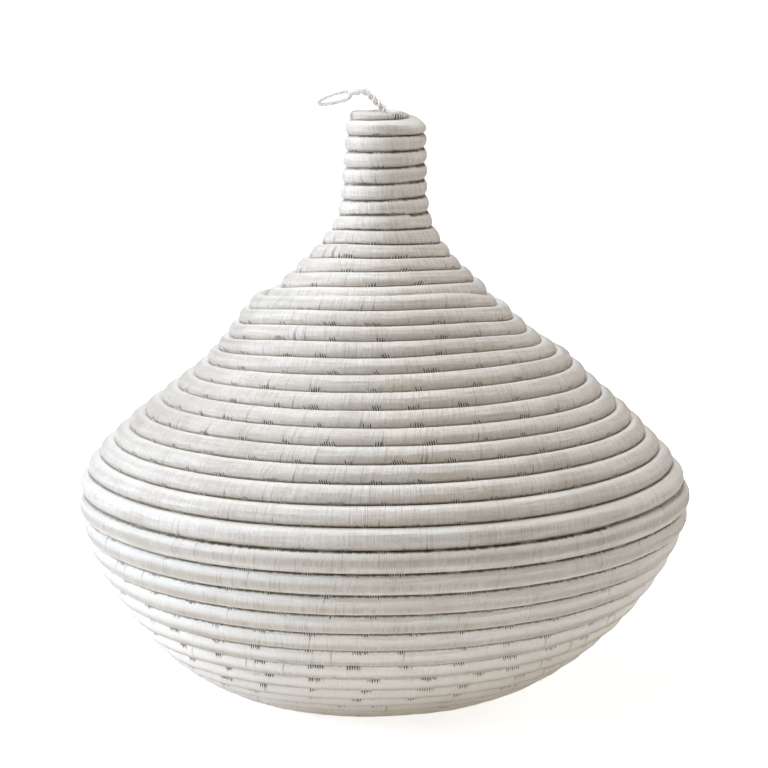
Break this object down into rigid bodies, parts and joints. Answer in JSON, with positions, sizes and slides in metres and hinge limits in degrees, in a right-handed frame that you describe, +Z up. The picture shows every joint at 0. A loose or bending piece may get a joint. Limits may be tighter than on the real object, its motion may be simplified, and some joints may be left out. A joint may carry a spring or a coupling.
{
  "type": "lidded basket",
  "caption": "Round-bellied coiled basket with a tall-necked bell-shaped lid that lifts off, and a twisted cord loop in the lid's crown.",
  "frame": {"origin": "centre of the flat base, on the surface that the basket stands on", "axes": "+Z up through the neck of the lid, -Y towards the front, +X to the right seen from the front"},
  "size_m": [0.4401, 0.4405, 0.4475],
  "materials": {
    "wrapped_coil": "satin thread wrapping",
    "loop_cord": "twisted thread"
  },
  "bodies": {
    "basket": {"base_coil": "wrapped_coil", "lower_wall_coil": "wrapped_coil", "belly_coil": "wrapped_coil", "shoulder_coil": "wrapped_coil", "rim_coil": "wrapped_coil"},
    "lid": {"lid_edge_coil": "wrapped_coil", "lid_shoulder_coil": "wrapped_coil", "lid_neck_coil": "wrapped_coil", "lid_crown_coil": "wrapped_coil", "hanging_loop": "loop_cord", "loop_knot": "loop_cord"}
  },
  "joints": [
    {"name": "lid_lift", "type": "slide", "parent": "basket", "child": "lid", "axis": [0, 0, 1], "range_m": [0, 0.2]}
  ]
}
